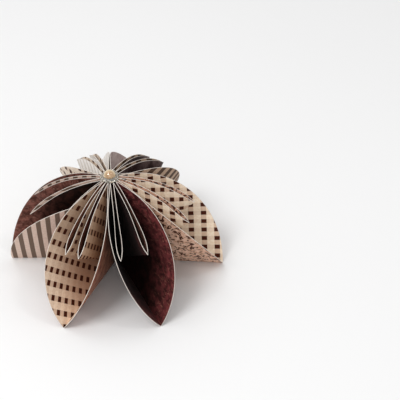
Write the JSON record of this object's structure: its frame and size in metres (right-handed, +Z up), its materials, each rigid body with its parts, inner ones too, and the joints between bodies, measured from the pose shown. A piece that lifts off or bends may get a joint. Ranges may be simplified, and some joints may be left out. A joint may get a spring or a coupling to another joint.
{
  "type": "folded paper flower",
  "caption": "Decorative dome-shaped flower of folded paper circles glued back to back, with a half pearl on top.",
  "frame": {"origin": "on the flower's upright axis, in the plane of the table, where the paper circles' centres meet", "axes": "+Z up along the axis to the pearl, +X to the right-hand petal, +Y to the back"},
  "size_m": [0.1002, 0.0951, 0.0535],
  "materials": {
    "paper_left": "matt, printed both sides: mottled dark brown inside, stripes outside",
    "paper_front_left": "matt, printed both sides: small checks inside, mottled red-brown outside",
    "paper_front_right": "matt, printed both sides: mottled dark brown",
    "paper_right": "matt, printed both sides: small checks inside, curled lines outside",
    "paper_back_right": "matt, printed both sides: mottled dark brown inside, slanting stripes outside",
    "paper_back_left": "matt, printed both sides: pale stripes inside, small checks outside",
    "clear_glue": "clear, glossy, set in a low ring",
    "pearl": "pearly gloss"
  },
  "bodies": {
    "root": {"petal_left": "paper_left", "petal_front_left": "paper_front_left", "petal_front_right": "paper_front_right", "petal_right": "paper_right", "petal_back_right": "paper_back_right", "petal_back_left": "paper_back_left", "glue_bed": "clear_glue", "pearl": "pearl"}
  },
  "joints": []
}
